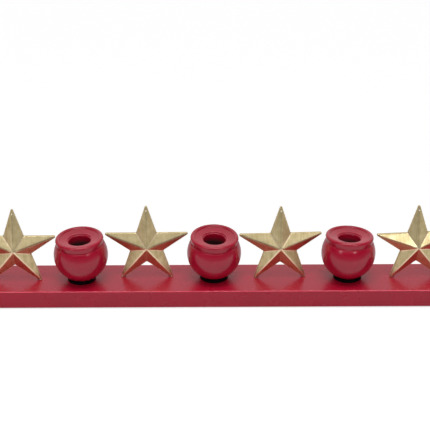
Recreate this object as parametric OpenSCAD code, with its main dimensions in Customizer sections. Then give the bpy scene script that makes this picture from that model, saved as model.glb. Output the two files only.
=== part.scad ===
// Advent candle holder: a long lacquered board with four turned cups for taper candles
// and five pressed stars that stand between and beside them.
// +X runs along the board, +Y to its back and +Z up. The origin is on the table, under the middle of the board.

/* [Board] */
// Distance from each star or cup to the next one along the board
pitch = 67.25; // [64:0.25:90]
// Distance from the middle of an end star to the end of the board
end_margin = 51; // [48:1:90]
// Depth of the board from front to back
board_depth = 58; // [54:0.5:80]
// Thickness of the board with its lacquer
board_t = 18.4; // [15:0.2:30]
// Rounding of the board's edges
board_round = 1.2; // [0.5:0.1:3]

/* [Candle cups] */
// Diameter of the turned ball that forms a cup
ball_d = 54.4; // [51:0.2:60]
// Height of a cup from its flat base to the top of its rim
cup_h = 44.2; // [42:0.2:50]
// Diameter of the flat that the ball stands on
base_flat_d = 24; // [20:0.5:26]
// Diameter of the collar at its rim
rim_d = 48.2; // [43:0.2:50]
// Diameter of the collar at its foot, in the crease above the ball
collar_foot_d = 46.6; // [41:0.2:48]
// Height of the collar from the crease to the rim
collar_h = 7.2; // [6:0.2:11]
// Rounding of the rim's outer edge
rim_round = 2.4; // [1:0.1:3]
// How far the top face falls from the rim to the candle hole
dish_drop = 2.9; // [1:0.1:4]
// How far the crease between the ball and the collar cuts in under the collar
crease_depth = 0.5; // [0.2:0.1:1.2]

/* [Candle hole] */
// Diameter of the hole for a taper candle
bore_d = 22; // [20:0.1:24]
// Depth of the hole from the top of the rim to its floor
bore_depth = 26; // [18:0.5:28]
// Rounding of the hole's lip
lip_round = 1.6; // [0.8:0.1:3]

/* [Stars] */
// Distance from a star's centre to its tips
star_tip_r = 43.4; // [36:0.2:48]
// Distance from a star's centre to its notches
star_notch_r = 17.4; // [14:0.1:20]
// Rounding of the tips
tip_round = 1.2; // [0.6:0.1:2]
// Height of the raised centre in front of the star's outline
star_relief = 8.7; // [5:0.1:12]
// Depth of the rim that is folded back along the outline
star_rim = 2.4; // [2:0.1:5]
// Thickness of the sheet
star_wall = 0.8; // [0.5:0.05:1.2]
// Distance of a star's outline behind the middle of the board
star_set_back = 2; // [-2:0.1:6]
// Diameter of the small hanging hole below the top tip
hang_hole_d = 1.3; // [0.8:0.1:2]
// Distance from the top tip to the middle of the hanging hole
hang_hole_drop = 4.4; // [3.8:0.1:8]

/* [Star pins] */
// Diameter of the wire pins that hold a star
pin_d = 1.4; // [1:0.1:1.6]
// How far a pin stands in from the tip of its foot
pin_inset = 3.4; // [3:0.1:5]
// Height that a pin reaches inside its foot above the board
pin_rise = 5.6; // [5:0.1:7]
// Depth that a pin is pressed into the board
pin_depth = 10; // [6:0.5:13]

/* [Fasteners and pads] */
// Diameter of the black disc between the board and a cup
spacer_d = 28.4; // [24:0.2:30]
// Thickness of that disc
spacer_t = 3.2; // [2:0.1:5]
// Diameter of the wood screw that holds a cup
screw_d = 4; // [3:0.1:5]
// Diameter of the screw's countersunk head
screw_head_d = 8; // [7:0.1:10]
// Width of one arm of the cross recess in the screw's head
recess_w = 1.1; // [0.6:0.1:1.5]
// Diameter of a felt pad under the board
pad_d = 16; // [10:0.5:20]
// Thickness of a felt pad
pad_t = 1; // [0.6:0.1:3]
// Distance from the board's edges to the nearest point of a pad
pad_margin = 5; // [3:0.5:12]

/* [Hidden] */
// An advent holder has one candle for each of four Sundays, with a star on either side of every one
candles = 4;
stars = candles + 1;
// A star has five arms
star_arms = 5;
// Clearance round a screw in the board and in its disc
screw_clear = 0.25;
// Clearance round a screw's thread in the cup, where the wood is cut away by it
thread_clear = 0.05;
// Clearance round a pin in the board and in its star
pin_clear = 0.03;
// How far a screw's head lies under the face of the board
head_sink = 0.3;
// Length by which a cut passes the face that it opens
overrun = 2;
// The screw's reach into the wood under a candle hole, and its pilot hole's, as shares of that wood
screw_bite_share = 0.68;
pilot_share = 0.8;
// The fall of the crease's lower side as it runs outwards
crease_fall_share = 0.5;
// The length of a screw's point, and the width and depth of its recess, as shares of its diameters
point_share = 1.1;
recess_span_share = 0.55;
recess_depth_share = 0.6;
// How far each cup and each star stands off its mark along the board and across it, as shares of
// the board's depth
cup_slip_shares = [[0, 0], [0.006, -0.019], [-0.009, 0.028], [0.002, 0.013]];
star_slip_shares = [[0, 0], [0.027, -0.108], [-0.017, 0], [-0.023, -0.032], [0.028, -0.012]];
// How many degrees each cup leans forward and to the right on its flat, and each star is turned
cup_leans = [[0, 0], [2.5, -3], [5, 1.2], [-2, 2]];
star_turns = [0, 0, 0.8, 2.8, 6];
// Steps in a rounded corner of a turned profile, and in a star's rounded tip
round_steps = 10;
tip_steps = 4;
$fn = 96;

lacquer_red = "#8f2235";
champagne_gold = "#c4b184";
rubber_black = "#141416";
bright_steel = "#b9bcc0";
felt_grey = "#3a3a3c";

// Levels above the table
board_bottom = pad_t;
board_top = board_bottom + board_t;
cup_base = board_top + spacer_t;

// Lengths along the board
board_length = 2 * (candles * pitch + end_margin);

// The ball and its collar, measured from the cup's flat base
ball_r = ball_d / 2;
ball_centre = sqrt(pow(ball_r, 2) - pow(base_flat_d / 2, 2));
crease_z = cup_h - collar_h;
bore_r = bore_d / 2;
bore_floor = cup_h - bore_depth;
rim_centre = [rim_d / 2 - rim_round, cup_h - rim_round];
lip_centre = [bore_r + lip_round, cup_h - dish_drop - lip_round];
dish_angle = touch_angle(lip_centre, lip_round, rim_centre, rim_round);

// The star's outline, its folded rim and the hollow behind it
arm_step = 180 / star_arms;
tip_centre = [star_tip_r - tip_round, 0];
tip_reach = touch_angle(star_notch_r * [cos(arm_step), sin(arm_step)], 0, tip_centre, tip_round);
star_edge_distance = star_notch_r * cos(tip_reach - arm_step);
hollow_scale = (star_edge_distance - star_wall) / star_edge_distance;
hollow_shift = star_wall * norm([1, star_relief / star_edge_distance]);
star_centre_z = -min([for (p = star_outline()) p[1]]);
foot_x = star_tip_r * sin(arm_step);
pin_y = star_rim / 2;

// The screw, from the underside of the board to its point
head_h = (screw_head_d - screw_d) / 2;
screw_length = board_t - head_sink + spacer_t + screw_bite_share * bore_floor;
point_h = point_share * screw_d;

// Where candle cup i stands: on the middle of the board, then off its mark by its own slip
function cup_place(i) = [(2 * i - candles - 1) * pitch, 0] + cup_slip_shares[i - 1] * board_depth;

// Where star i stands: half way between cups, then off its mark by its own slip
function star_place(i) =
    [(2 * i - stars - 1) * pitch, star_set_back] + star_slip_shares[i - 1] * board_depth;

// Where the two pins of a star stand in the star's own plan
function pin_places() = [for (side = [-1, 1]) [side * (foot_x - pin_inset), pin_y]];

// Points of an arc about a centre, from one angle to another
function arc(centre, r, from, to, steps = round_steps) = [
    for (k = [0:steps])
        let (a = from + (to - from) * k / steps)
        centre + r * [cos(a), sin(a)]
];

// The direction square to the straight line that runs over circle a and then over circle b
function touch_angle(a, ra, b, rb) =
    let (d = b - a)
    90 + atan2(d[1], d[0]) + asin((rb - ra) / norm(d));

// The star's outline, clockwise from the top tip: an arc for each tip, then the notch after it
function star_outline() = [
    for (k = [0:star_arms - 1])
        let (a = 90 - 2 * arm_step * k)
        each concat(
            arc(tip_centre[0] * [cos(a), sin(a)], tip_round, a + tip_reach, a - tip_reach, tip_steps),
            [star_notch_r * [cos(a - arm_step), sin(a - arm_step)]]
        )
];

// A bar with every edge rounded: what three rounded prisms along X, Y and Z share
module rounded_bar(size, r) {
    intersection() {
        rotate([90, 0, 90])
            linear_extrude(size[0], center = true)
                rounded_rectangle([size[1], size[2]], r);
        rotate([90, 0, 0])
            linear_extrude(size[1], center = true)
                rounded_rectangle([size[0], size[2]], r);
        linear_extrude(size[2], center = true)
            rounded_rectangle([size[0], size[1]], r);
    }
}

module rounded_rectangle(size, r) {
    square([size[0], size[1] - 2 * r], center = true);
    square([size[0] - 2 * r, size[1]], center = true);
    for (sx = [-1, 1])
        for (sy = [-1, 1])
            translate([sx * (size[0] / 2 - r), sy * (size[1] / 2 - r)])
                circle(r);
}

// The board, with a countersunk hole under each cup and two pin holes under each star
module base_board() {
    color(lacquer_red)
        difference() {
            translate([0, 0, board_bottom + board_t / 2])
                rounded_bar([board_length, board_depth, board_t], board_round);
            for (i = [1:candles])
                translate([cup_place(i)[0], cup_place(i)[1], board_bottom])
                    screw_hole();
            for (i = [1:stars])
                translate([star_place(i)[0], star_place(i)[1], board_top - pin_depth])
                    rotate(star_turns[i - 1])
                        for (p = pin_places())
                            translate(p)
                                cylinder(h = pin_depth + overrun, d = pin_d + 2 * pin_clear);
        }
}

// The clearance hole and the countersink for one screw, from the board's underside up
module screw_hole() {
    translate([0, 0, -overrun])
        cylinder(h = board_t + 2 * overrun, d = screw_d + 2 * screw_clear);
    translate([0, 0, head_sink])
        cylinder(h = head_h, d1 = screw_head_d + 2 * screw_clear, d2 = screw_d + 2 * screw_clear);
    translate([0, 0, -overrun])
        cylinder(h = overrun + head_sink, d = screw_head_d + 2 * screw_clear);
}

// A cup: its turning leans about the ball's centre, and the flat that it stands on is cut level
module candle_cup(i) {
    color(lacquer_red)
        translate([cup_place(i)[0], cup_place(i)[1], cup_base])
            difference() {
                intersection() {
                    translate([0, 0, ball_centre])
                        rotate([cup_leans[i - 1][0], cup_leans[i - 1][1], 0])
                            translate([0, 0, -ball_centre])
                                cup_turning();
                    cylinder(h = cup_h + ball_r, r = ball_r + overrun);
                }
                translate([0, 0, -overrun])
                    cylinder(h = overrun + pilot_share * bore_floor, d = screw_d + 2 * thread_clear);
            }
}

// What the lathe makes from one piece of wood: a ball, a crease, a collar and the candle hole
module cup_turning() {
    difference() {
        union() {
            intersection() {
                translate([0, 0, ball_centre])
                    sphere(ball_r);
                translate([0, 0, crease_z - 2 * ball_r])
                    cylinder(h = 2 * ball_r, r = ball_r + overrun);
            }
            rotate_extrude()
                collar_profile();
        }
        rotate_extrude()
            crease_profile();
        rotate_extrude()
            bore_profile();
    }
}

// Half section of the collar: flared side, rounded rim and the dished top down to the candle hole's lip
module collar_profile() {
    lip_edge = lip_centre + lip_round * [cos(dish_angle), sin(dish_angle)];
    polygon(concat(
        [[0, crease_z - rim_round], [collar_foot_d / 2 - rim_round, crease_z - rim_round]],
        [[collar_foot_d / 2, crease_z]],
        arc(rim_centre, rim_round, 0, dish_angle),
        [lip_edge, [0, lip_edge[1]]]
    ));
}

// Half section of the crease that parts the ball's shoulder from the collar
module crease_profile() {
    inner = collar_foot_d / 2 - crease_depth;
    outer = ball_r + overrun;
    polygon([[inner, crease_z], [outer, crease_z - crease_fall_share * (outer - inner)], [outer, crease_z]]);
}

// Half section of the candle hole: a straight bore that opens through a rounded lip
module bore_profile() {
    lip_edge = lip_centre + lip_round * [cos(dish_angle), sin(dish_angle)];
    polygon(concat(
        [[0, bore_floor], [bore_r, bore_floor]],
        arc(lip_centre, lip_round, 180, dish_angle),
        [[lip_edge[0], cup_h + overrun], [0, cup_h + overrun]]
    ));
}

// The black disc that keeps a cup off the lacquer of the board
module cup_spacer(i) {
    color(rubber_black)
        translate([cup_place(i)[0], cup_place(i)[1], board_top])
            difference() {
                cylinder(h = spacer_t, d = spacer_d);
                translate([0, 0, -overrun])
                    cylinder(h = spacer_t + 2 * overrun, d = screw_d + 2 * screw_clear);
            }
}

// A countersunk wood screw, driven up through the board and the disc into the cup
module cup_screw(i) {
    color(bright_steel)
        translate([cup_place(i)[0], cup_place(i)[1], board_bottom + head_sink])
            difference() {
                union() {
                    cylinder(h = head_h, d1 = screw_head_d, d2 = screw_d);
                    cylinder(h = screw_length - point_h, d = screw_d);
                    translate([0, 0, screw_length - point_h])
                        cylinder(h = point_h, d1 = screw_d, d2 = 0);
                }
                for (turn = [0, 90])
                    rotate(turn)
                        cube(
                            [
                                recess_span_share * screw_head_d,
                                recess_w,
                                2 * recess_depth_share * head_h
                            ],
                            center = true
                        );
            }
}

// A star pressed from sheet: ten flat facets that rise to the centre, a rim folded back and an open back
module star(i) {
    color(champagne_gold)
        translate([star_place(i)[0], star_place(i)[1], board_top + star_centre_z])
            rotate(star_turns[i - 1])
                difference() {
                    star_shell();
                    translate([0, overrun, star_tip_r - hang_hole_drop])
                        rotate([90, 0, 0])
                            cylinder(h = star_relief + 2 * overrun, d = hang_hole_d);
                    for (p = pin_places())
                        translate([p[0], p[1], -star_centre_z - overrun])
                            cylinder(h = pin_rise + overrun, d = pin_d + 2 * pin_clear);
                }
}

// The shell: the outline at a few sizes and depths, closed to the apex in front and to the hollow's behind
module star_shell() {
    outline = star_outline();
    n = len(outline);
    hollow_y = hollow_shift - star_relief * (1 - hollow_scale);
    // The loops' sizes and depths, from the front outline round the rim to the hollow's own outline
    loops = [[1, 0], [1, star_rim], [hollow_scale, star_rim], [hollow_scale, hollow_y]];
    points = concat(
        [[0, -star_relief, 0], [0, hollow_shift - star_relief, 0]],
        [for (loop = loops) for (c = outline) [loop[0] * c[0], loop[1], loop[0] * c[1]]]
    );
    first = 2;
    faces = concat(
        [for (k = [0:n - 1]) [0, first + k, first + (k + 1) % n]],
        [
            for (loop = [0:len(loops) - 2])
                for (k = [0:n - 1])
                    let (a = first + loop * n, b = a + n)
                    [a + (k + 1) % n, a + k, b + k, b + (k + 1) % n]
        ],
        [
            for (k = [0:n - 1])
                let (a = first + (len(loops) - 1) * n)
                [a + (k + 1) % n, a + k, 1]
        ]
    );
    polyhedron(points, faces);
}

// The two wire pins of a star, from inside its feet down into the board
module star_pins(i) {
    color(bright_steel)
        translate([star_place(i)[0], star_place(i)[1], board_top - pin_depth])
            rotate(star_turns[i - 1])
                for (p = pin_places())
                    translate(p)
                        cylinder(h = pin_depth + pin_rise, d = pin_d);
}

// Round felt pads: one near each corner and a pair under the middle
module felt_pads() {
    along = board_length / 2 - pad_margin - pad_d / 2;
    across = board_depth / 2 - pad_margin - pad_d / 2;
    color(felt_grey)
        for (x = [-along, 0, along])
            for (y = [-across, across])
                translate([x, y, 0])
                    cylinder(h = pad_t, d = pad_d);
}

base_board();
felt_pads();
for (i = [1:candles]) candle_cup(i);
for (i = [1:candles]) cup_spacer(i);
for (i = [1:candles]) cup_screw(i);
for (i = [1:stars]) star(i);
for (i = [1:stars]) star_pins(i);
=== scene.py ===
# %% [markdown]
# This lesson dresses an advent candle holder for its portrait. A long board with a red satin lacquer
# carries four turned candle cups on black discs, and five pressed stars in champagne gold stand between
# and beside them on wire pins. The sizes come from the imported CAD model, which is loaded here as a fixed
# frame: every new piece goes exactly where the frame's own piece lies.

import bpy
import numpy as np
from mathutils import Matrix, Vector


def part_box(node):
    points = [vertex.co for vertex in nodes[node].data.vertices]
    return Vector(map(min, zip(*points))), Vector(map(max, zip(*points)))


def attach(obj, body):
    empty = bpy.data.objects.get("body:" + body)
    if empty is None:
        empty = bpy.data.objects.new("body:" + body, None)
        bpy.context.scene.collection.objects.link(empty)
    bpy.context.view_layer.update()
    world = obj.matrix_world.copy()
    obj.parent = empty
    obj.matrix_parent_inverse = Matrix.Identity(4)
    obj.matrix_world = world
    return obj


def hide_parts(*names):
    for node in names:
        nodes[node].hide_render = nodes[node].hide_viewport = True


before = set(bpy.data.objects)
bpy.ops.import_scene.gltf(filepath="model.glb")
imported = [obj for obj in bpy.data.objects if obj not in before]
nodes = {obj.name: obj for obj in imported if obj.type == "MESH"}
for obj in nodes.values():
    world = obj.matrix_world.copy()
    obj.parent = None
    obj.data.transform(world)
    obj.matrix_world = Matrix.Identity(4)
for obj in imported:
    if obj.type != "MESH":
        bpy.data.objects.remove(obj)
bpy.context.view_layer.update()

MM = 0.001
print("frame:", len(nodes), "nodes")


# %% [markdown]
# A surface in Blender is points and faces. Nearly every piece here is a stack of closed rings, like the
# hoops of a barrel, so one helper is enough: it joins each ring to the next one with four-sided faces and
# closes both ends to a point. The whole grid of corner numbers is worked out at once with numpy.

# %% A closed skin over rings
def skin(name, shells):
    """One object from one or more closed shells, each a pair (rings, poles).

    rings[k, i] is point i of closed ring k. Quads join ring k to ring k + 1, and a fan of triangles
    closes the first and the last ring to the two poles. Without poles the last ring joins the first.
    """
    points, faces, start = [], [], 0
    for rings, poles in shells:
        count, around = rings.shape[:2]
        here = np.arange(around)
        after = np.roll(here, -1)
        k = np.arange(count if poles is None else count - 1)[:, None]
        low, high = start + k * around, start + (k + 1) % count * around
        quads = np.stack([low + here, low + after, high + after, high + here], axis=-1)
        faces += quads.reshape(-1, 4).tolist()
        points.append(rings.reshape(-1, 3))
        end = start + count * around
        if poles is not None:
            top = end - around
            faces += np.stack([start + after, start + here, np.full(around, end)], axis=-1).tolist()
            faces += np.stack([top + here, top + after, np.full(around, end + 1)], axis=-1).tolist()
            points.append(np.asarray(poles))
            end += 2
        start = end
    mesh = bpy.data.meshes.new(name)
    mesh.from_pydata(np.vstack(points).tolist(), [], faces)
    mesh.shade_smooth()
    piece = bpy.data.objects.new(name, mesh)
    bpy.context.collection.objects.link(piece)
    return piece


def paint(piece, material):
    """Gives a piece its one material."""
    piece.data.materials.clear()
    piece.data.materials.append(material)


def dress(piece, material, slot, *replaced):
    """Gives a finished piece its material and its body, and hides the frame's nodes that it stands for; the
    slot is not used.
    """
    paint(piece, material)
    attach(piece, "root")
    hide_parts(*replaced)
    print(piece.name, len(piece.data.polygons), "faces")


# %% [markdown]
# Colours are written as they look on a screen, in sRGB hex, while the renderer counts in linear light.
# One function turns the first into the second. A second helper adds a shader node, sets what it is told
# to set and links its inputs, so that a material below reads from the top down like a recipe.

# %% Colours and shader nodes
def linear(hex_colour):
    """The linear colour of an sRGB hex value: a power of 2.4 above a short straight foot."""
    srgb = np.array([int(hex_colour[i:i + 2], 16) for i in (1, 3, 5)]) / 255
    value = np.where(srgb <= 0.04045, srgb / 12.92, ((srgb + 0.055) / 1.055) ** 2.4)
    return (*value.tolist(), 1.0)


def add_node(tree, kind, inputs=(), **settings):
    """Adds a node. inputs maps a socket's name or number to a value or to another node's output."""
    node = tree.nodes.new(kind)
    for name, value in settings.items():
        setattr(node, name, value)
    for socket, value in dict(inputs).items():
        if isinstance(value, bpy.types.NodeSocket):
            tree.links.new(value, node.inputs[socket])
        else:
            node.inputs[socket].default_value = value
    return node


def new_material(name):
    """An empty material with its output node, and the Object coordinates that its patterns read."""
    material = bpy.data.materials.new(name)
    material.use_nodes = True
    tree = material.node_tree
    tree.nodes.clear()
    place = add_node(tree, "ShaderNodeTexCoord").outputs["Object"]
    return material, tree, place


def finish_material(material, shader):
    """Links the finished shader to the material's output."""
    tree = material.node_tree
    add_node(tree, "ShaderNodeOutputMaterial", {"Surface": shader.outputs[0]})
    print(material.name, len(tree.nodes), "nodes")


# %% [markdown]
# The camera stands where the photographer's did: a little over a metre in front of the board, looking
# down at 25 degrees. Its place and its angles were fitted to edges of the board, the cups and the stars,
# and the long lens keeps the lines nearly parallel.

# %% The camera
IMAGE_WIDTH = 430
FOCAL_PIXELS = 1413.1
CAMERA_PLACE = (49.72 * MM, -1264.3 * MM, 693.8 * MM)
YAW, PITCH, ROLL = np.radians([0.808, 25.54, -0.141])

ahead = np.array([np.sin(YAW) * np.cos(PITCH), np.cos(YAW) * np.cos(PITCH), -np.sin(PITCH)])
level = np.array([np.cos(YAW), -np.sin(YAW), 0])
upright = np.cross(level, ahead)
right = np.cos(ROLL) * level - np.sin(ROLL) * upright
up = np.sin(ROLL) * level + np.cos(ROLL) * upright

camera_data = bpy.data.cameras.new("camera")
camera_data.lens = camera_data.sensor_width * FOCAL_PIXELS / IMAGE_WIDTH
camera = bpy.data.objects.new("camera", camera_data)
turned = Matrix(np.column_stack([right, up, -ahead]).tolist()).to_4x4()
camera.matrix_world = Matrix.Translation(CAMERA_PLACE) @ turned
bpy.context.collection.objects.link(camera)
bpy.context.scene.camera = camera
print("lens", round(camera_data.lens, 1), "mm")

# %% [markdown]
# The board and the cups are wood under a sprayed red lacquer. A thin line of a paler red is painted on the
# board's upper long edges and round each candle hole: a painted highlight, where the rounded edges catch
# the light. A material can learn in two ways where it is: from the place on the piece, or from a number
# that the piece stores for each of its points. The board is the frame's own solid and stores nothing, so it
# takes the first way. The cups are built here and take the second.

# %% Where a highlight is painted
BOARD_ROUND = 1.2 * MM
# Nearness to the side times nearness to the top: the product where the line starts and where it is full
LINE_STARTS, LINE_IS_FULL = 0.15, 0.4
board_side, board_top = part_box("base_board")[1].yz


def highlight_on_long_edges(tree, place):
    """1 on the board's upper long edges, where both |y| and z are near their largest, 0 elsewhere."""
    parts = add_node(tree, "ShaderNodeSeparateXYZ", {0: place})
    side = add_node(tree, "ShaderNodeMath", {0: parts.outputs["Y"]}, operation="ABSOLUTE")
    near_side = add_node(tree, "ShaderNodeMapRange", {
        "Value": side.outputs[0], "From Min": board_side - BOARD_ROUND, "From Max": board_side
    })
    near_top = add_node(tree, "ShaderNodeMapRange", {
        "Value": parts.outputs["Z"], "From Min": board_top - BOARD_ROUND, "From Max": board_top
    })
    both = add_node(tree, "ShaderNodeMath", {
        0: near_side.outputs[0], 1: near_top.outputs[0]
    }, operation="MULTIPLY")
    line = add_node(tree, "ShaderNodeMapRange", {
        "Value": both.outputs[0], "From Min": LINE_STARTS, "From Max": LINE_IS_FULL
    })
    return line.outputs[0]


def highlight_on_points(tree, place):
    """The share that a cup stores for each point: 1 on the edge of its candle hole, 0 elsewhere.

    It needs no place, and takes one only so that both functions are called alike.
    """
    return add_node(tree, "ShaderNodeAttribute", attribute_name="painted_line").outputs["Fac"]


print("board top at", round(board_top / MM, 2), "mm")


# %% [markdown]
# Sprayed lacquer dries with a faint orange peel and lets the grain of the wood through as shallow lines,
# and its gloss is satin: it mirrors the white backdrop softly. So the material has a deep red that varies
# a little, a roughness that varies with the film's thickness, and a bump of two sizes: the peel, and the
# grain drawn out along the board. The turned cups were sanded smoother than the board, so the board's
# lacquer is a little rougher and mirrors less.

# %% Satin red lacquer on wood
LACQUER_RED = "#b91233"
LACQUER_DEEP_RED = "#a70f2e"
# The next two reds are painted highlights on rounded edges, and the dark red after them is painted shade deep
# in the candle holes
BOARD_EDGE_HIGHLIGHT_RED = "#e0485e"
HOLE_EDGE_HIGHLIGHT_RED = "#e25f70"
HOLE_SHADE_RED, HOLE_SHADE_ROUGHNESS = "#340306", 0.9
PEEL_WIDTH, PEEL_HEIGHT = 1.6 * MM, 0.03 * MM
GRAIN_WIDTH, GRAIN_LENGTH, GRAIN_HEIGHT = 1.3 * MM, 60 * MM, 0.03 * MM
CLOUD_WIDTH = 30 * MM
# The clouds are a noise, and nearly all of its values lie between these two
CLOUD_LOW, CLOUD_HIGH = 0.3, 0.7


def red_lacquer(name, low, high, mirror, painted_line, highlight_red):
    """Red lacquer with a roughness from low to high. mirror is the strength of its mirroring, usually 0.5.

    The fifth argument is one of the two functions above, where a highlight is painted, and the sixth its
    paler red.
    """
    lacquer, tree, place = new_material(name)
    clouds = add_node(tree, "ShaderNodeTexNoise", {"Vector": place, "Scale": 1 / CLOUD_WIDTH, "Detail": 3})
    colour = add_node(tree, "ShaderNodeMix", {
        "Factor": clouds.outputs["Fac"], 6: linear(LACQUER_DEEP_RED), 7: linear(LACQUER_RED)
    }, data_type="RGBA")
    roughness = add_node(tree, "ShaderNodeMapRange", {
        "Value": clouds.outputs["Fac"], "From Min": CLOUD_LOW, "From Max": CLOUD_HIGH,
        "To Min": low, "To Max": high
    })
    drawn_out = add_node(tree, "ShaderNodeMapping", {
        "Vector": place, "Scale": (1 / GRAIN_LENGTH, 1 / GRAIN_WIDTH, 1 / GRAIN_WIDTH)
    })
    grain = add_node(tree, "ShaderNodeTexNoise", {"Vector": drawn_out.outputs[0], "Scale": 1, "Detail": 4})
    grain_bump = add_node(tree, "ShaderNodeBump", {
        "Height": grain.outputs["Fac"], "Distance": GRAIN_HEIGHT, "Strength": 0.5
    })
    peel = add_node(tree, "ShaderNodeTexNoise", {"Vector": place, "Scale": 1 / PEEL_WIDTH, "Detail": 1})
    peel_bump = add_node(tree, "ShaderNodeBump", {
        "Height": peel.outputs["Fac"], "Distance": PEEL_HEIGHT, "Strength": 0.5,
        "Normal": grain_bump.outputs[0]
    })
    # A paler red where the edges catch the light: a painted highlight
    colour = add_node(tree, "ShaderNodeMix", {
        "Factor": painted_line(tree, place), 6: colour.outputs[2], 7: linear(highlight_red)
    }, data_type="RGBA")
    # Painted shade: below the first millimetres of a candle hole the colour turns dark and the surface matt
    painted_hole_shade = add_node(tree, "ShaderNodeAttribute", attribute_name="painted_hole_shade")
    colour = add_node(tree, "ShaderNodeMix", {
        "Factor": painted_hole_shade.outputs["Fac"], 6: colour.outputs[2], 7: linear(HOLE_SHADE_RED)
    }, data_type="RGBA")
    roughness = add_node(tree, "ShaderNodeMapRange", {
        "Value": painted_hole_shade.outputs["Fac"], "To Min": roughness.outputs[0], "To Max": HOLE_SHADE_ROUGHNESS
    })
    finish_material(lacquer, add_node(tree, "ShaderNodeBsdfPrincipled", {
        "Base Color": colour.outputs[2], "Roughness": roughness.outputs[0], "IOR": 1.5,
        "Specular IOR Level": mirror, "Normal": peel_bump.outputs[0]
    }))
    return lacquer


board_lacquer = red_lacquer(
    "satin_lacquer_on_board", low=0.24, high=0.3, mirror=0.42,
    painted_line=highlight_on_long_edges, highlight_red=BOARD_EDGE_HIGHLIGHT_RED
)
cup_lacquer = red_lacquer(
    "satin_lacquer_on_turned_wood", low=0.17, high=0.23, mirror=0.5,
    painted_line=highlight_on_points, highlight_red=HOLE_EDGE_HIGHLIGHT_RED
)

# %% [markdown]
# The board is the frame's own solid. Its shape is right, with every edge rounded, so it only gets the
# lacquer.

# %% The board
paint(nodes["base_board"], board_lacquer)
print("base_board in", board_lacquer.name)


# %% [markdown]
# A candle cup is turned on a lathe, and so is its surface here: half of its section is drawn as a path,
# then carried round the axis. The corners that a turner would break with sandpaper, and that lacquer
# fills a little, are rounded by a helper that puts an arc in place of each corner.

# %% Paths with rounded corners
def arc(centre, radius, start, end, steps):
    """Points of a circle about centre, from one angle to another in degrees."""
    angle = np.radians(np.linspace(start, end, steps))
    return np.asarray(centre) + radius * np.column_stack([np.cos(angle), np.sin(angle)])


def corner_arcs(before, corner, after, radius, steps):
    """An arc of the given radius for each corner of a path, as an array (corners, steps, 2).

    An arc touches both legs at radius * tan(turn / 2) from the corner. Its points are the touching
    point, plus radius * sin(a) along the first leg, plus radius * (1 - cos(a)) towards the inside.
    """
    first, second = corner - before, after - corner
    first = first / np.linalg.norm(first, axis=1, keepdims=True)
    second = second / np.linalg.norm(second, axis=1, keepdims=True)
    cross = first[:, 0] * second[:, 1] - first[:, 1] * second[:, 0]
    turn = np.arctan2(np.abs(cross), np.sum(first * second, axis=1))[:, None, None]
    inside = np.sign(cross)[:, None] * np.column_stack([-first[:, 1], first[:, 0]])
    angle = turn * np.linspace(0, 1, steps)[:, None]
    radius = np.asarray(radius, float)[:, None, None]
    touch = corner[:, None] - radius * np.tan(turn / 2) * first[:, None]
    return touch + radius * (np.sin(angle) * first[:, None] + (1 - np.cos(angle)) * inside[:, None])


# Two points of a path that lie nearer than this, in metres, are one
SAME_PLACE = 1e-7


def rounded(path, radii, steps=7):
    """An open path whose corners are arcs, each with its own radius, where 0 keeps the corner."""
    path = np.asarray(path, float)
    arcs = corner_arcs(path[:-2], path[1:-1], path[2:], radii[1:-1], steps)
    points = np.vstack([path[:1], arcs.reshape(-1, 2), path[-1:]])
    moved = np.linalg.norm(np.diff(points, axis=0), axis=1) > SAME_PLACE
    return points[np.concatenate([[True], moved])]


def hoops(profile, steps):
    """Rings of points round the vertical axis, one for each profile point (r, z): r cos a, r sin a, z."""
    angle = np.linspace(0, 2 * np.pi, steps, endpoint=False)
    r, z = profile[:, 0, None], profile[:, 1, None]
    return np.stack([r * np.cos(angle), r * np.sin(angle), z + 0 * angle], axis=-1)


def lathe(profile, centre, steps):
    """A closed shell about centre: hoops for the inner points of a profile, poles for its two ends."""
    poles = np.column_stack([[0, 0], [0, 0], profile[[0, -1], 1]])
    return hoops(profile[1:-1], steps) + centre, poles + centre


def turned_by(points, forward, aside):
    """Points leaned by two angles: y and z turn forward about X, then x and z turn aside about Y.

    Each angle may be one number or one for each ring of points.
    """
    x, y, z = points[..., 0], points[..., 1], points[..., 2]
    y, z = y * np.cos(forward) - z * np.sin(forward), y * np.sin(forward) + z * np.cos(forward)
    x, z = x * np.cos(aside) + z * np.sin(aside), z * np.cos(aside) - x * np.sin(aside)
    return np.stack([x, y, z], axis=-1)


# %% [markdown]
# The cup's section starts inside the screw's pilot hole, runs out over the flat base, up the ball, over
# its shoulder into a shallow crease, up the flared collar and over its broad rim, through a narrow cove
# and down the dished top, where the turner's tool left faint rings. The candle hole has two edges, as a
# cutter with a step leaves them: the dish breaks off at a small edge, and a rounded one follows deeper.
# The sizes below come in the order in which the section passes them.

# %% The cup's sizes
PILOT_DEPTH, PILOT_R = 14.5 * MM, 2.05 * MM
BASE_FLAT_R, BASE_ROUND = 12 * MM, 0.5 * MM
SHOULDER_ROUND = 0.3 * MM
CREASE_DEPTH, CREASE_FALL, CREASE_ROUND = 0.5 * MM, 0.3, 0.3 * MM
CUP_H, COLLAR_H = 44.2 * MM, 7.2 * MM
COLLAR_FOOT_R, COLLAR_FOOT_ROUND, COLLAR_RIM_R = 23.3 * MM, 0.6 * MM, 24.1 * MM
RIM_ROUND, RIM_STARTS_AT = 2.4 * MM, -4
COVE_R = 1 * MM
DISH_SLOPE, DISH_DROP = np.radians(11), 2.9 * MM
TOOL_RING, TOOL_RING_H = 1.5 * MM, 0.02 * MM
HOLE_EDGE_R, STEP_DROP, STEP_TAPER = 12.7 * MM, 1.1 * MM, 0.15 * MM
HOLE_R, HOLE_ROUND = 11 * MM, 1.35 * MM
# How far below the rim the painted shade in the candle hole starts, and over what depth it grows to full
HOLE_SHADE_STARTS, HOLE_SHADE_LENGTH = 7.5 * MM, 5.5 * MM
HOLE_DEPTH, HOLE_FLOOR_ROUND = 26 * MM, 0.5 * MM
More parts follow.
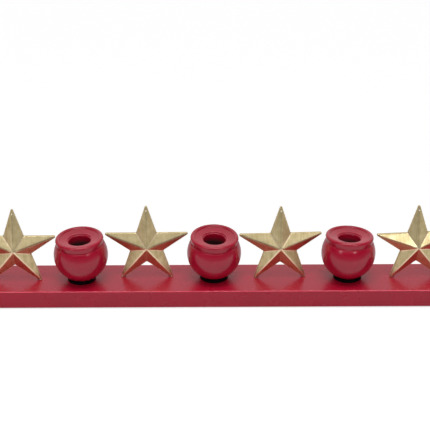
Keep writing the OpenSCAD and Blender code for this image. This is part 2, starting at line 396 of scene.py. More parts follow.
# The edges that a touch of sandpaper breaks, and the corners that only the lacquer fills
BROKEN_EDGE, FILLED_CORNER = 0.3 * MM, 0.1 * MM
# How many points each curve of the section has, and how near to the ball a point counts as on it
BALL_POINTS, RIM_POINTS, COVE_POINTS, DISH_POINTS = 72, 30, 9, 56
ON_BALL = 0.001 * MM
print("cup", round(CUP_H / MM, 1), "mm high, its hole", round(2 * HOLE_R / MM, 1), "mm wide")


# %% [markdown]
# Most of the section can be written down in order. Two of its points follow from their neighbours: the
# shoulder, where the sloping side of the crease meets the ball, and the centre of the cove, which lies
# at its radius from the dish and touches the rim. Both are worked out from the sizes, so any of these
# can be changed without a gap or a kink.

# %% The cup's section
def cup_section(ball_r, ball_z):
    """Half section (r, z) of a cup above its flat base, from the pilot hole's end to the hole's floor.

    The ball has the radius ball_r, and its centre lies ball_z above the base. The section comes with
    the indices of its first and its last point on the ball.
    """
    crease_z = CUP_H - COLLAR_H
    crease_r = COLLAR_FOOT_R - CREASE_DEPTH
    # The shoulder is where the crease's sloping lower side meets the ball: a quadratic in r
    b = crease_r * CREASE_FALL ** 2 + (crease_z - ball_z) * CREASE_FALL
    a = 1 + CREASE_FALL ** 2
    c = (crease_z - ball_z + CREASE_FALL * crease_r) ** 2 - ball_r ** 2
    shoulder_r = (b + np.sqrt(b ** 2 - a * c)) / a
    shoulder_z = crease_z - CREASE_FALL * (shoulder_r - crease_r)
    shoulder_angle = np.degrees(np.arctan2(shoulder_z - ball_z, shoulder_r))
    base_angle = np.degrees(np.arctan2(-ball_z, BASE_FLAT_R))
    ball = arc((0, ball_z), ball_r, base_angle, shoulder_angle, BALL_POINTS)
    rim_centre = np.array([COLLAR_RIM_R - RIM_ROUND, CUP_H - RIM_ROUND])
    hole_edge = np.array([HOLE_EDGE_R, CUP_H - DISH_DROP])
    # The cove lies on the dish's line and touches the rim: its centre is COVE_R above the line, and
    # RIM_ROUND + COVE_R from the rim's centre
    uphill = np.array([np.cos(DISH_SLOPE), np.sin(DISH_SLOPE)])
    above = np.array([-uphill[1], uphill[0]])
    gap = rim_centre - hole_edge
    run = gap @ uphill - np.sqrt((RIM_ROUND + COVE_R) ** 2 - (COVE_R - gap @ above) ** 2)
    cove_centre = hole_edge + run * uphill + COVE_R * above
    meets = np.degrees(np.arctan2(*(cove_centre - rim_centre)[::-1]))
    rim = arc(rim_centre, RIM_ROUND, RIM_STARTS_AT, meets, RIM_POINTS)
    cove = arc(cove_centre, COVE_R, meets - 180, np.degrees(DISH_SLOPE) - 90, COVE_POINTS)[1:]
    # From the cove the dish runs straight to the hole's edge, and the tool's rings are waves on it
    share = np.linspace(0, 1, DISH_POINTS)[1:-1, None]
    length = np.linalg.norm(hole_edge - cove[-1])
    wave = TOOL_RING_H * np.sin(np.pi * share) * np.sin(2 * np.pi * share * length / TOOL_RING)
    dish = cove[-1] + share * (hole_edge - cove[-1]) + wave * above
    step_z = hole_edge[1] - STEP_DROP
    path = [
        [[0, PILOT_DEPTH], [PILOT_R, PILOT_DEPTH], [PILOT_R, 0]],
        ball,
        [[crease_r, crease_z], [COLLAR_FOOT_R, crease_z + CREASE_DEPTH]],
        rim,
        cove,
        dish,
        [hole_edge, [HOLE_EDGE_R - STEP_TAPER, step_z], [HOLE_R, step_z]],
        [[HOLE_R, CUP_H - HOLE_SHADE_STARTS], [HOLE_R, CUP_H - HOLE_SHADE_STARTS - HOLE_SHADE_LENGTH]],
        [[HOLE_R, CUP_H - HOLE_DEPTH], [0, CUP_H - HOLE_DEPTH]],
    ]
    radii = [
        [0, FILLED_CORNER, BROKEN_EDGE],
        [BASE_ROUND] + [0] * (len(ball) - 2) + [SHOULDER_ROUND],
        [CREASE_ROUND, COLLAR_FOOT_ROUND],
        [0] * (len(rim) + len(cove) + len(dish)),
        [BROKEN_EDGE, FILLED_CORNER, HOLE_ROUND],
        [0, 0],
        [HOLE_FLOOR_ROUND, 0],
    ]
    section = rounded(np.vstack(path), np.concatenate(radii))
    off_ball = np.abs(np.hypot(section[:, 0], section[:, 1] - ball_z) - ball_r)
    return section, *np.flatnonzero(off_ball < ON_BALL)[[0, -1]]


# %% [markdown]
# The cups don't stand quite upright on the real holder. Their flats were cut a little askew, so each
# cup leans a few degrees its own way. The lean grows from nothing at the flat base to its full angle at
# the ball's equator. A sphere turned about its own centre is still the same sphere, so nothing shears.

# %% The candle cups
CUP_STEPS = 192
PALE_EDGE = 0.4 * MM
# How many degrees each cup leans forward and to the right, as in the frame
CUP_LEANS = {
    "candle_cup_1": (0, 0),
    "candle_cup_2": (2.5, -3),
    "candle_cup_3": (5, 1.2),
    "candle_cup_4": (-2, 2),
}


def stands(name):
    """Where a round node of the frame stands: the middle of its foot, its radius and its height."""
    low, high = (np.array(corner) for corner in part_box(name))
    foot = np.array([*(low[:2] + high[:2]) / 2, low[2]])
    return foot, (high[0] - low[0]) / 2, high[2] - low[2]


def store(piece, quality, values):
    """Keeps a number from 0 to 1 for each point of a piece, as an attribute that its material reads."""
    piece.data.attributes.new(quality, "FLOAT", "POINT").data.foreach_set("value", values)


for name, lean in CUP_LEANS.items():
    foot, ball_r, _ = stands(name)
    ball_z = np.sqrt(ball_r ** 2 - BASE_FLAT_R ** 2)
    section, first_on_ball, last_on_ball = cup_section(ball_r, ball_z)
    share = np.clip(section[:, 1] / ball_z, 0, 1)
    share[:first_on_ball] = 0
    share[last_on_ball:] = 1
    forward, aside = np.radians(lean)[:, None] * share
    rings, poles = lathe(section, np.array([0, 0, -ball_z]), CUP_STEPS)
    rings = turned_by(rings, forward[1:-1, None], aside[1:-1, None])
    poles = turned_by(poles, forward[[0, -1]], aside[[0, -1]])
    middle = foot + [0, 0, ball_z]
    cup = skin(name.replace("candle_cup", "turned_cup"), [(rings + middle, poles + middle)])
    # How much painted shade each point gets: 0 on the cup and in the hole's first millimetres, 1 deep in the
    # hole.
    # And how much painted highlight: 1 on the edge of the hole, on a bell curve PALE_EDGE wide. The height in
    # the test lies between the floor of the candle hole and the end of the pilot hole below it
    r, z = section.T
    in_hole = (r < HOLE_EDGE_R) & (z > (CUP_H - HOLE_DEPTH + PILOT_DEPTH) / 2)
    hole_shade_share = np.where(in_hole, np.clip((CUP_H - HOLE_SHADE_STARTS - z) / HOLE_SHADE_LENGTH, 0, 1), 0)
    painted_line = np.exp(-(np.hypot(r - HOLE_EDGE_R, z - CUP_H + DISH_DROP) / PALE_EDGE) ** 2)
    for quality, values in (("painted_hole_shade", hole_shade_share), ("painted_line", painted_line)):
        store(cup, quality, np.concatenate([np.repeat(values[1:-1], CUP_STEPS), values[[0, -1]]]))
    dress(cup, cup_lacquer, "lacquered_wood", name)

# %% [markdown]
# A black disc keeps each cup off the lacquer of the board. It is a moulded rubber spacer with broken
# edges and a hole for the screw. Rubber is dark, matt and faintly grainy.

# %% Moulded black rubber
RUBBER_BLACK = "#020202"
RUBBER_GREY = "#050506"
RUBBER_GRAIN, RUBBER_GRAIN_H = 0.5 * MM, 0.05 * MM

rubber, tree, place = new_material("moulded_black_rubber")
speckle = add_node(tree, "ShaderNodeTexNoise", {"Vector": place, "Scale": 1 / RUBBER_GRAIN, "Detail": 3})
colour = add_node(tree, "ShaderNodeMix", {
    "Factor": speckle.outputs["Fac"], 6: linear(RUBBER_BLACK), 7: linear(RUBBER_GREY)
}, data_type="RGBA")
bump = add_node(tree, "ShaderNodeBump", {
    "Height": speckle.outputs["Fac"], "Distance": RUBBER_GRAIN_H, "Strength": 0.6
})
finish_material(rubber, add_node(tree, "ShaderNodeBsdfPrincipled", {
    "Base Color": colour.outputs[2], "Roughness": 0.8, "Specular IOR Level": 0.15, "Normal": bump.outputs[0]
}))

# %% The black discs
DISC_EDGE = 0.4 * MM
DISC_HOLE_R = 2.25 * MM
DISC_STEPS = 96

for name in sorted(n for n in nodes if n.startswith("cup_spacer_")):
    foot, r, h = stands(name)
    # The path starts and ends half way up the wall of the hole, so that its own corners can be rounded
    loop = [[DISC_HOLE_R, h / 2], [DISC_HOLE_R, 0], [r, 0], [r, h], [DISC_HOLE_R, h], [DISC_HOLE_R, h / 2]]
    profile = rounded(loop, [0, DISC_EDGE, DISC_EDGE, DISC_EDGE, DISC_EDGE, 0])[:-1]
    disc = skin(name.replace("cup_spacer", "rubber_disc"), [(hoops(profile, DISC_STEPS) + foot, None)])
    dress(disc, rubber, "spacer_rubber", name)

# %% [markdown]
# The stars are pressed from thin steel and coated in champagne gold. The coat is metallic and satin. It
# shows fine upright streaks from polishing before the coat went on, and a slight unevenness of the
# sheet, so no two facets mirror the room alike. The streaks are a noise drawn out along the height; they
# are drawn a little coarser than real polishing lines, so that they still show at this size. Beside the
# ridges of the legs and in the valleys a paler gold is painted in as a highlight, and along the ridges of
# the side arms a brown line is painted in as shade.

# %% Satin champagne gold
GOLD = "#e2d0a3"
GOLD_DEEP = "#c9b584"
# The next two colours are painted light: a paler gold painted as highlight beside the legs' ridges and in the
# valleys, and a brown painted as shade along the side arms' ridges
GOLD_GLINT = "#fde3c3"
RIDGE_SHADE_BROWN = "#a3816a"
STREAK_WIDTH, STREAK_LENGTH, STREAK_HEIGHT = 0.9 * MM, 14 * MM, 0.04 * MM
MOTTLE_WIDTH = 6 * MM
DULL_ROUGHNESS, BRIGHT_ROUGHNESS = 0.36, 0.28
# The streaks and the mottle are two noises. They are added, and nearly all sums lie between these two
SUM_LOW, SUM_HIGH = 0.7, 1.3

gold, tree, place = new_material("satin_champagne_gold")
drawn_out = add_node(tree, "ShaderNodeMapping", {
    "Vector": place, "Scale": (1 / STREAK_WIDTH, 1 / STREAK_LENGTH, 1 / STREAK_LENGTH)
})
streaks = add_node(tree, "ShaderNodeTexNoise", {"Vector": drawn_out.outputs[0], "Scale": 1, "Detail": 4})
mottle = add_node(tree, "ShaderNodeTexNoise", {"Vector": place, "Scale": 1 / MOTTLE_WIDTH, "Detail": 2})
both = add_node(tree, "ShaderNodeMath", {
    0: streaks.outputs["Fac"], 1: mottle.outputs["Fac"]
}, operation="ADD")
share = add_node(tree, "ShaderNodeMapRange", {
    "Value": both.outputs[0], "From Min": SUM_LOW, "From Max": SUM_HIGH
})
colour = add_node(tree, "ShaderNodeMix", {
    "Factor": share.outputs[0], 6: linear(GOLD_DEEP), 7: linear(GOLD)
}, data_type="RGBA")
# A paler gold painted beside the legs' ridges and in the valleys: painted highlight
painted_glint = add_node(tree, "ShaderNodeAttribute", attribute_name="painted_glint")
colour = add_node(tree, "ShaderNodeMix", {
    "Factor": painted_glint.outputs["Fac"], 6: colour.outputs[2], 7: linear(GOLD_GLINT)
}, data_type="RGBA")
# A brown painted along the side arms' ridges: painted shade
painted_line = add_node(tree, "ShaderNodeAttribute", attribute_name="painted_line")
colour = add_node(tree, "ShaderNodeMix", {
    "Factor": painted_line.outputs["Fac"], 6: colour.outputs[2], 7: linear(RIDGE_SHADE_BROWN)
}, data_type="RGBA")
roughness = add_node(tree, "ShaderNodeMapRange", {
    "Value": both.outputs[0], "From Min": SUM_LOW, "From Max": SUM_HIGH,
    "To Min": DULL_ROUGHNESS, "To Max": BRIGHT_ROUGHNESS
})
bump = add_node(tree, "ShaderNodeBump", {
    "Height": streaks.outputs["Fac"], "Distance": STREAK_HEIGHT, "Strength": 0.5
})
finish_material(gold, add_node(tree, "ShaderNodeBsdfPrincipled", {
    "Base Color": colour.outputs[2], "Metallic": 1.0, "Roughness": roughness.outputs[0],
    "Normal": bump.outputs[0]
}))


# %% [markdown]
# A star could be ten flat triangles, but a press leaves soft ridges and soft valleys, and the way they
# catch the light is what makes the metal look real. So the front is a height above the outline's plane:
# the relief times one minus a gauge, and the gauge of a point says how far out it lies, 0 at the centre
# and 1 on the outline. On one facet the gauge is a plain slope. Where two facets meet in a ridge the
# larger slope counts and in a valley the smaller one, and a soft maximum and minimum round the meeting.

# %% The star's height
TIP_R, TIP_ROUND = 43.4 * MM, 1.2 * MM
NOTCH_R = 17.4 * MM
RELIEF = 8.7 * MM
RIDGE_SOFTNESS, VALLEY_SOFTNESS = 1.0 * MM, 0.35 * MM
HALF_ARM = np.radians(36)

# The edge runs from a notch to the circle that rounds a tip, so its angle to the arm's ridge comes from
# both, and the sharp corner lies further out than the tip, by radius * (1 / sin(angle) - 1)
along, aside = TIP_R - TIP_ROUND - NOTCH_R * np.cos(HALF_ARM), NOTCH_R * np.sin(HALF_ARM)
half_tip = np.arctan2(aside, along) - np.arcsin(TIP_ROUND / np.hypot(along, aside))
corner_r = TIP_R + TIP_ROUND * (1 / np.sin(half_tip) - 1)
edge = np.hypot(corner_r - NOTCH_R * np.cos(HALF_ARM), NOTCH_R * np.sin(HALF_ARM))
edge_distance = corner_r * NOTCH_R * np.sin(HALF_ARM) / edge
edge_angle = np.arccos(edge_distance / corner_r)


def star_height(x, z):
    """Height of the front above the outline's plane: relief * (1 - gauge).

    The point is folded into half an arm, at an angle from its ridge. Each slope is the distance
    along the normal of an edge, as a share of that edge's distance from the centre: this facet's own
    edge, the one across the ridge and the one across the valley.
    """
    distance = np.hypot(x, z)
    angle = np.abs((np.arctan2(x, z) + HALF_ARM) % (2 * HALF_ARM) - HALF_ARM)
    own = distance * np.cos(angle - edge_angle) / edge_distance
    across_ridge = distance * np.cos(angle + edge_angle) / edge_distance
    across_valley = distance * np.cos(2 * HALF_ARM - edge_angle - angle) / edge_distance
    soft_ridge, soft_valley = RIDGE_SOFTNESS / edge_distance, VALLEY_SOFTNESS / edge_distance
    ridge = (own + across_ridge + np.hypot(own - across_ridge, soft_ridge)) / 2
    gauge = (ridge + across_valley - np.hypot(ridge - across_valley, soft_valley)) / 2
    return RELIEF * (1 - gauge)


print("a star's tips are", round(np.degrees(2 * half_tip).item(), 1), "degrees sharp")


# %% [markdown]
# The painted highlights and the painted shade follow the star's lines. All of these pass through the
# centre, so a point's distance from one of them is its distance from the centre times the sine of an angle,
# and a bell curve across the line makes the mark fade to both sides.

# %% The star's painted highlights and shade
# Widths and strengths of the painted highlight lines, and of the painted shade on the side arms' ridges
GLINT_WIDTH, RIDGE_SHADE_WIDTH = 0.55 * MM, 0.8 * MM
GLINT_IN_VALLEY, RIDGE_SHADE_ON_ARM = 0.8, 0.9
RIDGE_SHADE_FROM = 4 * MM


def star_painted_light(x, z):
    """How much painted highlight and how much painted shade a point of the front gets, each 0 to 1: bell
    curves across lines.

    A painted highlight lies on the outer side of each leg's ridge, one highlight width away, and one in each
    valley above the legs. A line of painted shade lies on each side arm's ridge, and grows from nothing to
    its full strength between the distance where it starts and twice that distance from the centre.
    """
    distance, turn = np.hypot(x, z), np.abs(np.arctan2(x, z))
    off_ridge = distance * np.sin(4 * HALF_ARM - turn)
    off_valley = distance * np.sin(np.abs((turn % (2 * HALF_ARM)) - HALF_ARM))
    beside_ridge = np.exp(-((off_ridge - GLINT_WIDTH) / GLINT_WIDTH) ** 2)
    in_valley = np.exp(-(off_valley / GLINT_WIDTH) ** 2) * (turn < 4 * HALF_ARM)
    off_side = distance * np.sin(np.minimum(np.abs(turn - 2 * HALF_ARM), np.pi / 2))
    on_side_ridge = np.exp(-(off_side / RIDGE_SHADE_WIDTH) ** 2) * np.clip(distance / RIDGE_SHADE_FROM - 1, 0, 1)
    return np.maximum(beside_ridge, GLINT_IN_VALLEY * in_valley), RIDGE_SHADE_ON_ARM * on_side_ridge


# %% [markdown]
# The outline runs from tip to notch and back, five times round, with small arcs at its corners and more
# points near them, because the soft ridges and valleys need them there.

# %% The star's outline
NOTCH_ROUND = 0.6 * MM
ARC_POINTS, EDGE_POINTS = 13, 25


def star_outline():
    """Points (x, z) clockwise round the star, closed: straight edges between small arcs."""
    turn = HALF_ARM * np.arange(10)
    is_tip = np.arange(10) % 2 == 0
    corners = np.where(is_tip, corner_r, NOTCH_R)[:, None] * np.column_stack([np.sin(turn), np.cos(turn)])
    rounds = np.where(is_tip, TIP_ROUND, NOTCH_ROUND)
    before, after = np.roll(corners, 1, axis=0), np.roll(corners, -1, axis=0)
    arcs = corner_arcs(before, corners, after, rounds, ARC_POINTS)
    # Between two arcs the points lie closer together near both ends, like a cosine's steps
    share = (1 - np.cos(np.pi * np.linspace(0, 1, EDGE_POINTS)[1:-1, None])) / 2
    start, end = arcs[:, -1:], np.roll(arcs[:, :1], -1, axis=0)
    return np.concatenate([arcs, start + share * (end - start)], axis=1).reshape(-1, 2)


print("a star's outline has", len(star_outline()), "points")


# %% [markdown]
# Every ring of the star is this same outline, scaled: a smaller copy nearer to the centre. The function
# below says how far inside the outline each ring lies and how deep, from the front's apex over the
# facets, round the bend, back along the folded rim, over the cut edge and up the hollow's inside. The
# sheet came out of the press a little uneven, so slow waves go over it, and they are weak at the rim,
# which the fold keeps straight.

# %% The star's rings
SHEET = 0.8 * MM
FOLD_DEPTH = 2.4 * MM
BEND_R = 0.6 * MM
CUT_EDGE = 0.2 * MM
WAVE_HEIGHT, WAVE_LENGTH, WAVE_AT_RIM = 0.035 * MM, 13 * MM, 0.2
# The first and the last ring are about this share of the outline's size. The poles close what is left
APEX = 0.03
FACET_RINGS, BEND_RINGS, WALL_RINGS, CUT_RINGS, HOLLOW_RINGS = 44, 8, 3, 5, 24
# A soft ridge or valley reaches the outline a little off its plane. These shares of that step are left
# from one end of the bend to the other and down the wall, so that the cut edge is flat
LEFT_ON_BEND, LEFT_ON_WALL = (1, 0.8), (0.7, 0.1)


def star_rings(seed):
    """The star's closed shell about its centre: its rings (x, y, z), its two poles and its painted light.

    The painted light says how much painted highlight and how much painted shade each point gets.
    """
    outline = star_outline()
    slope = np.arctan2(RELIEF, edge_distance)
    touch = BEND_R * np.tan((np.pi / 2 - slope) / 2)
    bend = np.linspace(slope - np.pi / 2, 0, BEND_RINGS)
    corner = np.linspace(0, np.pi / 2, CUT_RINGS)
    inner_shift = SHEET / np.cos(slope)
    facet_end = BEND_R * (1 - np.sin(slope))
    inner_start = inner_shift - SHEET * np.tan(slope)
    facet = np.linspace(APEX, 1, FACET_RINGS)
    wall = np.linspace(touch, FOLD_DEPTH - CUT_EDGE, WALL_RINGS + 2)[1:-1]
    inner_wall = np.linspace(FOLD_DEPTH - CUT_EDGE, inner_start, WALL_RINGS + 2)[1:-1]
    hollow = np.linspace(1, APEX, HOLLOW_RINGS)
    down_bend, down_wall = np.linspace(*LEFT_ON_BEND, BEND_RINGS), np.linspace(*LEFT_ON_WALL, WALL_RINGS)
    up_wall = np.linspace(*LEFT_ON_WALL[::-1], WALL_RINGS)
    zero = np.zeros_like
    # Each stretch: how far its rings lie inside the outline, their depth, and their share of the height
    stretches = [
        (edge_distance * (1 - facet) + facet_end * facet, zero(facet), zero(facet) + 1),
        (BEND_R * (1 - np.cos(bend)), touch + BEND_R * np.sin(bend), down_bend),
        (zero(wall), wall, down_wall),
        (CUT_EDGE * (1 - np.cos(corner)), FOLD_DEPTH - CUT_EDGE * (1 - np.sin(corner)), zero(corner)),
        (SHEET - CUT_EDGE * (1 - np.sin(corner)), FOLD_DEPTH - CUT_EDGE * (1 - np.cos(corner)), zero(corner)),
        (zero(inner_wall) + SHEET, inner_wall, up_wall),
        (edge_distance * (1 - hollow) + SHEET * hollow, zero(hollow) + inner_shift, zero(hollow) + 1),
    ]
    inset, depth, weight = (np.concatenate(column)[:, None] for column in zip(*stretches))
    scale = 1 - inset / edge_distance
    x, z = scale * outline[:, 0], scale * outline[:, 1]
    on_facet = (depth == 0) | (depth == inner_shift)
    height = np.where(on_facet, star_height(x, z), star_height(*outline.T)[None, :])
    y = depth - weight * height
    # The unevenness of the sheet: three slow waves in directions and phases of the star's own
    random = np.random.default_rng(seed)
    direction, phase = random.uniform(0, np.pi, 3), random.uniform(0, 2 * np.pi, 3)
    along = x[..., None] * np.cos(direction) + z[..., None] * np.sin(direction)
    waves = np.sin(2 * np.pi * along / WAVE_LENGTH + phase).sum(axis=-1)
    y += WAVE_HEIGHT * waves * np.clip(1 + WAVE_AT_RIM - scale, 0, 1)
    rings = np.stack([x, y, z], axis=-1)
    painted_glint, painted_line = (np.append(np.where(depth == 0, share, 0), [0, 0]) for share in star_painted_light(x, z))
    return rings, rings[[0, -1]].mean(axis=1), {"painted_glint": painted_glint, "painted_line": painted_line}


# %% [markdown]
# The hanging hole below the top tip is drilled with a Boolean modifier, which cuts a small round bar out
# of the finished shell. The result is applied, so the piece is plain mesh again.

# %% The stars
HOLE_DROP, HANG_HOLE_R = 4.4 * MM, 0.65 * MM
# Where each star stands, in millimetres along and across the board, and its turn in degrees, as in the frame
STAR_PLACES = {
    "star_1": (-269, 2, 0),
    "star_2": (-132.934, -4.264, 0),
    "star_3": (-0.986, 2, 0.8),
    "star_4": (133.166, 0.144, 2.8),
    "star_5": (270.624, 1.304, 6),
}


def drill(piece, centre, radius, depth, sides=32):
    """Cuts a round hole along Y through the piece and keeps the result as its mesh."""
    angle = np.linspace(0, -2 * np.pi, sides, endpoint=False)
    circle = np.column_stack([radius * np.cos(angle), 0 * angle, radius * np.sin(angle)])
    ends = np.array([[0, -depth, 0], [0, depth, 0]])
    bar = skin("bar", [(circle + ends[:, None] + centre, ends + centre)])
    cut = piece.modifiers.new("hole", "BOOLEAN")
    cut.operation = "DIFFERENCE"
    cut.object = bar
    drilled = bpy.data.meshes.new_from_object(piece.evaluated_get(bpy.context.evaluated_depsgraph_get()))
    piece.modifiers.clear()
    piece.data = drilled
    bpy.data.objects.remove(bar)


for seed, (name, (x, y, turn)) in enumerate(STAR_PLACES.items()):
    rings, poles, painted_light = star_rings(seed)
    centre = np.array([x * MM, y * MM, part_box(name)[0].z - rings[..., 2].min()])
    star = skin(name.replace("star", "pressed_star"), [(rings, poles)])
    for quality, values in painted_light.items():
        store(star, quality, values)
    drill(star, np.array([0, 0, TIP_R - HOLE_DROP]), HANG_HOLE_R, 2 * RELIEF)
    star.data.transform(Matrix.Translation(centre.tolist()) @ Matrix.Rotation(np.radians(turn), 4, "Z"))
    star.data.shade_smooth()
    dress(star, gold, "star_metal", name)

# %% [markdown]
# The wire pins and the wood screws are steel. Drawn wire and rolled threads are bright, with a slight
# haze and fine marks along the length. Their solids are right as they are and only get this finish.

# %% Bright drawn steel
STEEL = "#c9cacc"
STEEL_DULL = "#a9abae"
DRAW_WIDTH, DRAW_LENGTH, DRAW_HEIGHT = 0.3 * MM, 5 * MM, 0.02 * MM

steel, tree, place = new_material("bright_drawn_steel")
drawn_out = add_node(tree, "ShaderNodeMapping", {
    "Vector": place, "Scale": (1 / DRAW_WIDTH, 1 / DRAW_WIDTH, 1 / DRAW_LENGTH)
})
marks = add_node(tree, "ShaderNodeTexNoise", {"Vector": drawn_out.outputs[0], "Scale": 1, "Detail": 3})
colour = add_node(tree, "ShaderNodeMix", {
    "Factor": marks.outputs["Fac"], 6: linear(STEEL_DULL), 7: linear(STEEL)
}, data_type="RGBA")
roughness = add_node(tree, "ShaderNodeMapRange", {
    "Value": marks.outputs["Fac"], "To Min": 0.2, "To Max": 0.4
})
bump = add_node(tree, "ShaderNodeBump", {
    "Height": marks.outputs["Fac"], "Distance": DRAW_HEIGHT, "Strength": 0.4
})
finish_material(steel, add_node(tree, "ShaderNodeBsdfPrincipled", {
    "Base Color": colour.outputs[2], "Metallic": 1.0, "Roughness": roughness.outputs[0],
    "Normal": bump.outputs[0]
}))

steel_names = [n for n in nodes if n.startswith(("star_pins_", "cup_screw_"))]
for name in steel_names:
    paint(nodes[name], steel)
print("steel:", len(steel_names), "nodes")

# %% [markdown]
# Six felt pads stand between the board and the table. Felt is pressed wool: a matt grey with lighter
# fibres, a soft sheen at grazing angles and an edge that bulges slightly where the knife pressed it.

# %% Pressed grey felt
FELT_GREY = "#3b3b3e"
FELT_LIGHT = "#55555a"
FIBRE_WIDTH, FIBRE_HEIGHT = 0.25 * MM, 0.15 * MM

felt, tree, place = new_material("pressed_grey_felt")
fibres = add_node(tree, "ShaderNodeTexNoise", {
    "Vector": place, "Scale": 1 / FIBRE_WIDTH, "Detail": 4, "Distortion": 2
})
colour = add_node(tree, "ShaderNodeMix", {
    "Factor": fibres.outputs["Fac"], 6: linear(FELT_GREY), 7: linear(FELT_LIGHT)
}, data_type="RGBA")
bump = add_node(tree, "ShaderNodeBump", {
    "Height": fibres.outputs["Fac"], "Distance": FIBRE_HEIGHT, "Strength": 0.8
})
finish_material(felt, add_node(tree, "ShaderNodeBsdfPrincipled", {
    "Base Color": colour.outputs[2], "Roughness": 0.95, "Sheen Weight": 0.3, "Sheen Roughness": 0.5,
    "Normal": bump.outputs[0]
}))

# %% The felt pads
PAD_R = 8 * MM
PAD_MARGIN = 5 * MM
PAD_EDGE = 0.35 * MM
PAD_STEPS = 64

low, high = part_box("felt_pads")
board_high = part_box("base_board")[1]
pad_h = high.z - low.z
pad_profile = rounded([[0, 0], [PAD_R, 0], [PAD_R, pad_h], [0, pad_h]], [0, PAD_EDGE, PAD_EDGE, 0])
along = board_high.x - PAD_MARGIN - PAD_R
across = board_high.y - PAD_MARGIN - PAD_R
places = [(x, y, low.z) for x in (-along, 0, along) for y in (-across, across)]
pads = skin("felt_discs", [lathe(pad_profile, np.array(p), PAD_STEPS) for p in places])
dress(pads, felt, "pad_felt", "felt_pads")

# %% [markdown]
# The studio is a white table in front of a white backdrop that curves up and over the object, and a dark
# room on the camera's side. The metal needs that difference: its facets are mirrors, and a room that is
# white all round would leave them flat. The table's front edge lies just below the picture. Its paper is
# lit by the lamps like everything else, so it keeps a soft shadow, and it glows for the camera and for
# mirrors, so that it comes out white in the picture.

# %% The table
TABLE_WHITE = "#cdcdcd"
TABLE_FRONT, TABLE_BACK, TABLE_SIDE = -0.27, 1.4, 0.9
GLOW_SEEN, GLOW_MIRRORED = 0.65, 0.3

table_material, tree, _ = new_material("white_table_paper")
rays = add_node(tree, "ShaderNodeLightPath")
mirrored = add_node(tree, "ShaderNodeMath", {
    0: rays.outputs["Is Glossy Ray"], 1: rays.outputs["Is Transmission Ray"]
}, operation="MAXIMUM")
mirrored = add_node(tree, "ShaderNodeMath", {
    0: mirrored.outputs[0], 1: GLOW_MIRRORED
}, operation="MULTIPLY")
seen = add_node(tree, "ShaderNodeMath", {
    0: rays.outputs["Is Camera Ray"], 1: GLOW_SEEN
}, operation="MULTIPLY")
glow = add_node(tree, "ShaderNodeMath", {
    0: seen.outputs[0], 1: mirrored.outputs[0]
}, operation="MAXIMUM")
paper = add_node(tree, "ShaderNodeBsdfDiffuse", {"Color": linear(TABLE_WHITE)})
light = add_node(tree, "ShaderNodeEmission", {"Strength": glow.outputs[0]})
finish_material(table_material, add_node(tree, "ShaderNodeAddShader", {
    0: paper.outputs[0], 1: light.outputs[0]
}))

corner_x, corner_y = np.meshgrid([-TABLE_SIDE, TABLE_SIDE], [TABLE_FRONT, TABLE_BACK])
table_points = np.stack([corner_x, corner_y, 0 * corner_x], axis=-1).reshape(-1, 3)
table_mesh = bpy.data.meshes.new("table")
table_mesh.from_pydata(table_points.tolist(), [], [(0, 1, 3, 2)])
table_mesh.materials.append(table_material)
table = bpy.data.objects.new("table", table_mesh)
bpy.context.collection.objects.link(table)
print("table", 2 * TABLE_SIDE, "m wide")

# %% [markdown]
# The world stands for the rest of the studio. Its brightness depends on the direction only. The backdrop
# starts behind the object and reaches past the zenith: y plus a share of z says how far into it a
# direction points. Half way up on the camera's side the room has a wide soft light, and its floor is
# pale, while everything else is dark. The camera itself sees one pale grey in every direction, where the
# table ends, so the background of any view is plain.

# %% The world
# The grey of the whole studio, and how many times as bright each part of it is
STUDIO_GREY = 0.8
BACKDROP, FRONT, FLOOR = 1.05, 1.3, 0.5
# How much z counts beside y, where the backdrop begins and where it has its full brightness
BACKDROP_TILT, BACKDROP_FROM, BACKDROP_TO = 0.7, 0.3, 0.8
# The z where the floor begins, and where it has its full brightness
FLOOR_FROM, FLOOR_TO = 0.25, -0.1
# The front light: the z of its middle, how far it fades above and below, and the y where it sets in
FRONT_HEIGHT, FRONT_SPREAD = np.sin(np.radians(41)).item(), 0.3
FRONT_FROM, FRONT_TO = -0.15, -0.55

world = bpy.data.worlds.new("studio")
world.use_nodes = True
bpy.context.scene.world = world
tree = world.node_tree
tree.nodes.clear()
direction = add_node(tree, "ShaderNodeTexCoord").outputs["Generated"]
parts = add_node(tree, "ShaderNodeSeparateXYZ", {0: direction})
reach = add_node(tree, "ShaderNodeMath", {
    0: parts.outputs["Z"], 1: BACKDROP_TILT, 2: parts.outputs["Y"]
}, operation="MULTIPLY_ADD")
backdrop = add_node(tree, "ShaderNodeMapRange", {
    "Value": reach.outputs[0], "From Min": BACKDROP_FROM, "From Max": BACKDROP_TO, "To Max": BACKDROP
})
floor = add_node(tree, "ShaderNodeMapRange", {
    "Value": parts.outputs["Z"], "From Min": FLOOR_FROM, "From Max": FLOOR_TO, "To Max": FLOOR
})
off_band = add_node(tree, "ShaderNodeMath", {0: parts.outputs["Z"], 1: FRONT_HEIGHT}, operation="SUBTRACT")
off_band = add_node(tree, "ShaderNodeMath", {0: off_band.outputs[0]}, operation="ABSOLUTE")
band = add_node(tree, "ShaderNodeMapRange", {
    "Value": off_band.outputs[0], "From Max": FRONT_SPREAD, "To Min": FRONT, "To Max": 0
})
on_camera_side = add_node(tree, "ShaderNodeMapRange", {
    "Value": parts.outputs["Y"], "From Min": FRONT_FROM, "From Max": FRONT_TO
})
front = add_node(tree, "ShaderNodeMath", {
    0: band.outputs[0], 1: on_camera_side.outputs[0]
}, operation="MULTIPLY")
rays = add_node(tree, "ShaderNodeLightPath")
strength = floor
for brightness in (rays.outputs["Is Camera Ray"], front.outputs[0], backdrop.outputs[0]):
    strength = add_node(tree, "ShaderNodeMath", {0: strength.outputs[0], 1: brightness}, operation="MAXIMUM")
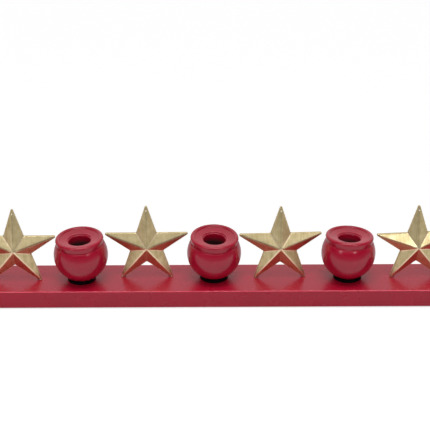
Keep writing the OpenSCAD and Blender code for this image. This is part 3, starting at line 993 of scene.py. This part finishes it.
background = add_node(tree, "ShaderNodeBackground", {
    "Color": (STUDIO_GREY, STUDIO_GREY, STUDIO_GREY, 1), "Strength": strength.outputs[0]
})
add_node(tree, "ShaderNodeOutputWorld", {"Surface": background.outputs[0]})
print("backdrop", BACKDROP, "front", FRONT, "floor", FLOOR)

# %% [markdown]
# A long striplight hangs near, above the table in front of the board. A grid narrows its beam, and the
# beam is aimed at the table, so its edge falls across the object: the front edge of the board is bright,
# and the board and the dished tops get darker towards the back. Two small softboxes stand left and right
# of the camera, somewhat higher than the object. They draw the small highlights on the shoulder of each
# cup and lift the upper facets of the stars.

# %% The lamps
STRIP_SIZE, STRIP_PLACE, STRIP_AIM = (1.0, 0.12), (0, -0.12, 0.455), (0, -0.12, 0)
STRIP_POWER, STRIP_BEAM = 0.46, np.radians(60)
BOX_SIDE, BOX_DISTANCE, BOX_POWER = 0.2, 1.2, 0.95
BOX_HEIGHT_ANGLE, BOX_SIDE_ANGLE = np.radians([28, 34])


def area_lamp(name, place, aim, size, power, beam=np.pi):
    """A rectangular lamp that faces the point aim, its width level, with a beam of so many radians."""
    lamp = bpy.data.lights.new(name, "AREA")
    lamp.shape = "RECTANGLE"
    lamp.size, lamp.size_y = size
    lamp.energy = power
    lamp.spread = beam
    away = np.subtract(place, aim)
    away /= np.linalg.norm(away)
    # Level, and along X for a lamp that looks straight down
    across = np.cross(away, [0, 1, 0]) if away[2] > 0.9 else np.cross([0, 0, 1], away)
    across /= np.linalg.norm(across)
    turned = Matrix(np.column_stack([across, np.cross(away, across), away]).tolist()).to_4x4()
    box = bpy.data.objects.new(name, lamp)
    box.matrix_world = Matrix.Translation(tuple(place)) @ turned
    bpy.context.collection.objects.link(box)


area_lamp("striplight", STRIP_PLACE, STRIP_AIM, STRIP_SIZE, STRIP_POWER, STRIP_BEAM)
middle = np.array([0, 0, board_top])
for name, side in (("softbox_left", -1), ("softbox_right", 1)):
    away = np.array([
        side * np.sin(BOX_SIDE_ANGLE) * np.cos(BOX_HEIGHT_ANGLE),
        -np.cos(BOX_SIDE_ANGLE) * np.cos(BOX_HEIGHT_ANGLE),
        np.sin(BOX_HEIGHT_ANGLE),
    ])
    area_lamp(name, middle + BOX_DISTANCE * away, middle, (BOX_SIDE, BOX_SIDE), BOX_POWER)
print("striplight", STRIP_POWER, "W, softboxes", BOX_POWER, "W each")

# %% The view transform
bpy.context.scene.view_settings.view_transform = "Standard"
